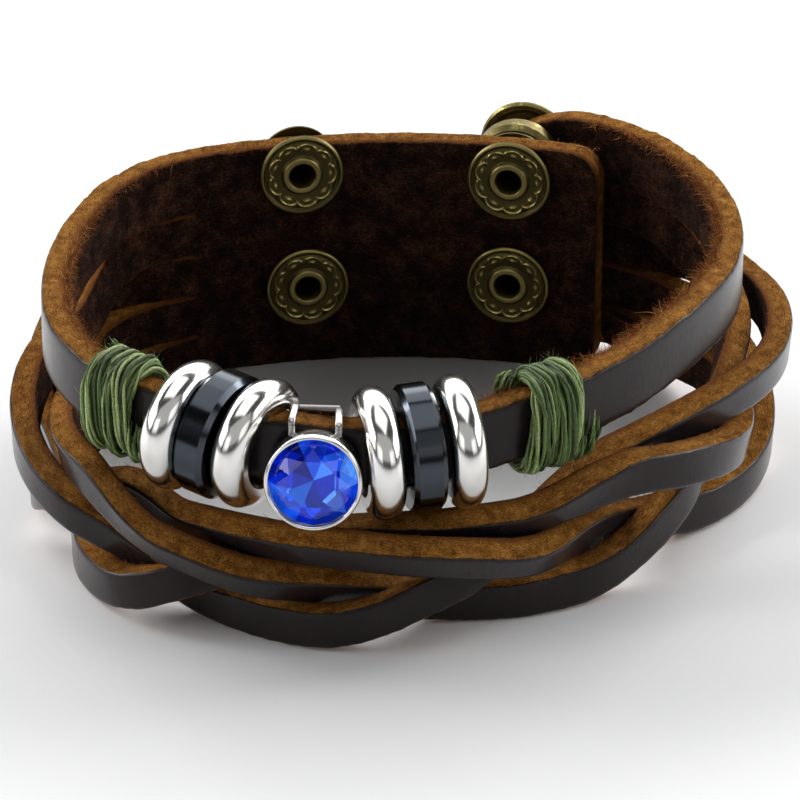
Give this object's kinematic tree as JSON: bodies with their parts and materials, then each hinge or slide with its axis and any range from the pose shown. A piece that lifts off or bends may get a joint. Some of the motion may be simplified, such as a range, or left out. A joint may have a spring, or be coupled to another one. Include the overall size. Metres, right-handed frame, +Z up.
{
  "type": "leather bangle",
  "caption": "Leather snap bangle: a slit strip whose lower strands are braided and whose top strand carries metal rings, a bezel-set blue stone and two cord wraps.",
  "frame": {"origin": "middle of the bangle's box at the surface it lies on", "axes": "+X to the wearer's right seen from the beads, +Y from the beads towards the snaps, +Z up from the surface, along the wrist"},
  "size_m": [0.0774, 0.0726, 0.0266],
  "materials": {
    "leather": "dark brown grain with tan cut edges",
    "antique_brass": "antique brass plating",
    "bright_brass": "worn antique brass plating",
    "silver": "polished",
    "dark_metal": "polished blue-black",
    "blue_glass": "cut and polished",
    "green_cord": "waxed thread"
  },
  "bodies": {
    "root": {"inner_tab": "leather", "outer_tab": "leather", "top_strand": "leather", "braid_strand_1": "leather", "braid_strand_2": "leather", "braid_strand_3": "leather", "braid_strand_4": "leather", "snap_post_1": "antique_brass", "snap_post_2": "antique_brass", "snap_post_3": "antique_brass", "snap_post_4": "antique_brass", "snap_stud_1": "antique_brass", "snap_stud_2": "antique_brass", "snap_stud_3": "antique_brass", "snap_stud_4": "antique_brass", "snap_socket_1": "bright_brass", "snap_socket_2": "bright_brass", "snap_cap_1": "bright_brass", "snap_cap_2": "bright_brass", "silver_ring_1": "silver", "silver_ring_2": "silver", "silver_ring_3": "silver", "silver_ring_4": "silver", "dark_ring_1": "dark_metal", "dark_ring_2": "dark_metal", "bezel_slider": "silver", "blue_stone": "blue_glass", "cord_wrap_left": "green_cord", "cord_wrap_right": "green_cord"}
  },
  "joints": []
}
